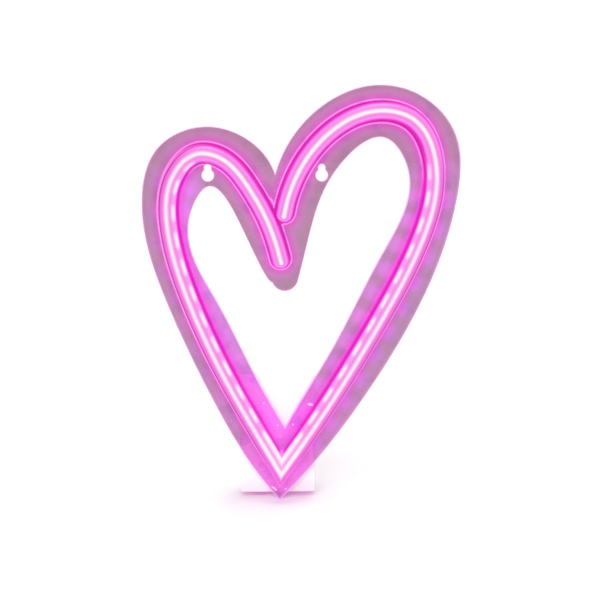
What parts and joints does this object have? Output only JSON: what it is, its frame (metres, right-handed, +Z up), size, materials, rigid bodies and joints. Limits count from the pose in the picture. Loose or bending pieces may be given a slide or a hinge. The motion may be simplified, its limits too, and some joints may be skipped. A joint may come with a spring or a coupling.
{
  "type": "illuminated heart wall sign",
  "caption": "Heart-shaped wall sign with glowing silicone light tubes on a clear cut-out plate, keyhole hangers and a battery box behind with a sliding cover and slide switch.",
  "frame": {"origin": "midway between the two keyhole circles, on the back face of the clear plate", "axes": "+X to the viewer's right, +Z up the wall, -Y out of the wall towards the viewer"},
  "size_m": [0.1884, 0.0346, 0.2528],
  "materials": {
    "clear_plate": "clear acrylic sheet, polished faces",
    "glowing_silicone": "milky silicone, satin, lit from inside",
    "strip_board": "white flexible circuit strip",
    "led": "white chip package with a lit window",
    "black_chip": "moulded black package",
    "solder": "bright solder",
    "red_wire": "red insulation",
    "black_wire": "black insulation",
    "sealant": "clear set sealant",
    "adhesive_pad": "clear double-sided gel pad",
    "white_box": "fine-textured white moulding",
    "cell_jacket": "plain dark printed sleeve with bare metal ends",
    "sprung_wire": "nickel-plated spring wire",
    "contact_plate": "nickel-plated strip",
    "circuit_board": "green solder mask",
    "inlet_metal": "drawn steel",
    "gold_pins": "gold-plated",
    "screw_steel": "zinc-plated"
  },
  "bodies": {
    "sign": {"back_plate": "clear_plate", "battery_lead_negative": "black_wire", "battery_lead_positive": "red_wire", "bay_lid": "white_box", "board_resistors": "black_chip", "box_body": "white_box", "capacitor": "black_chip", "cell_1": "cell_jacket", "cell_2": "cell_jacket", "cell_3": "cell_jacket", "chip_leads": "inlet_metal", "contact_link_bottom": "contact_plate", "contact_link_top": "contact_plate", "contact_tab_bottom": "contact_plate", "contact_tab_top": "contact_plate", "control_board": "circuit_board", "corner_sealant": "sealant", "driver_chip": "black_chip", "end_cap_left": "glowing_silicone", "end_cap_right": "glowing_silicone", "feed_wires_negative": "black_wire", "feed_wires_positive": "red_wire", "inlet_pins": "gold_pins", "inlet_shell": "inlet_metal", "inlet_tongue": "black_chip", "lead_solder": "solder", "led_strip_left": "strip_board", "led_strip_right": "strip_board", "leds_left": "led", "leds_right": "led", "lid_screws": "screw_steel", "mounting_pad": "adhesive_pad", "negative_spring_1": "sprung_wire", "negative_spring_2": "sprung_wire", "negative_spring_3": "sprung_wire", "resistors_left": "black_chip", "resistors_right": "black_chip", "strip_solder_left": "solder", "strip_solder_right": "solder", "switch_body": "black_chip", "switch_terminals": "inlet_metal", "tube_left": "glowing_silicone", "tube_right": "glowing_silicone"},
    "cover": {"battery_cover": "white_box"},
    "switch": {"switch_lever": "black_chip"}
  },
  "joints": [
    {"name": "cover_slide", "type": "slide", "parent": "sign", "child": "cover", "axis": [0, 0, 1], "range_m": [0, 0.058]},
    {"name": "switch_slide", "type": "slide", "parent": "sign", "child": "switch", "axis": [1, 0, 0], "range_m": [0, 0.002]}
  ]
}
